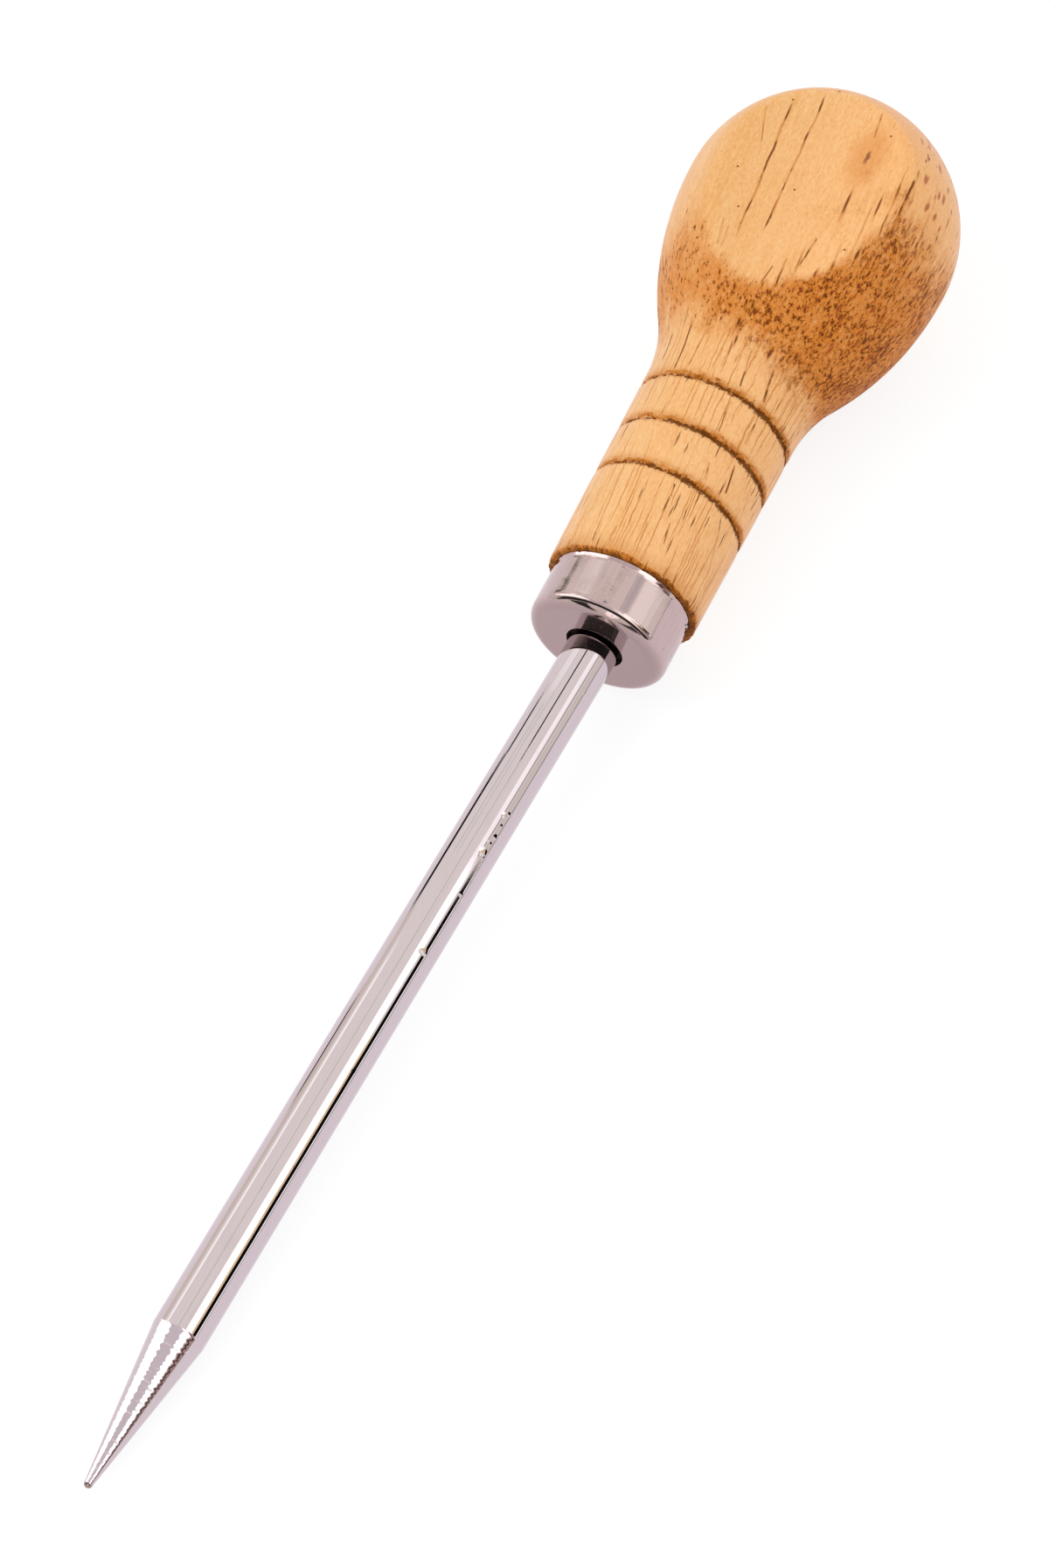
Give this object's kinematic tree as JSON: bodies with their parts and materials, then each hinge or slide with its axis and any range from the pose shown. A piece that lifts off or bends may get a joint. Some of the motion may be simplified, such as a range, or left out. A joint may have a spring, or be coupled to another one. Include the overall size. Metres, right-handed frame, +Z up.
{
  "type": "bradawl",
  "caption": "Bradawl with a pear-shaped turned wooden handle, grooved neck and thumb flats, a pressed steel ferrule and a round plated blade with a conical point.",
  "frame": {"origin": "on the bench under the middle of the tool's length, as the tool lies at rest", "axes": "+X from the tip to the butt, +Z up, with one of the handle's two flats facing down and the other up"},
  "size_m": [0.191, 0.0338, 0.0271],
  "materials": {
    "handle_wood": "pale open-grained hardwood under a thin satin varnish",
    "ferrule_steel": "bright plated pressed steel",
    "blade_steel": "bright plated bar with a turned point"
  },
  "bodies": {
    "root": {"handle": "handle_wood", "ferrule": "ferrule_steel", "blade": "blade_steel"}
  },
  "joints": []
}
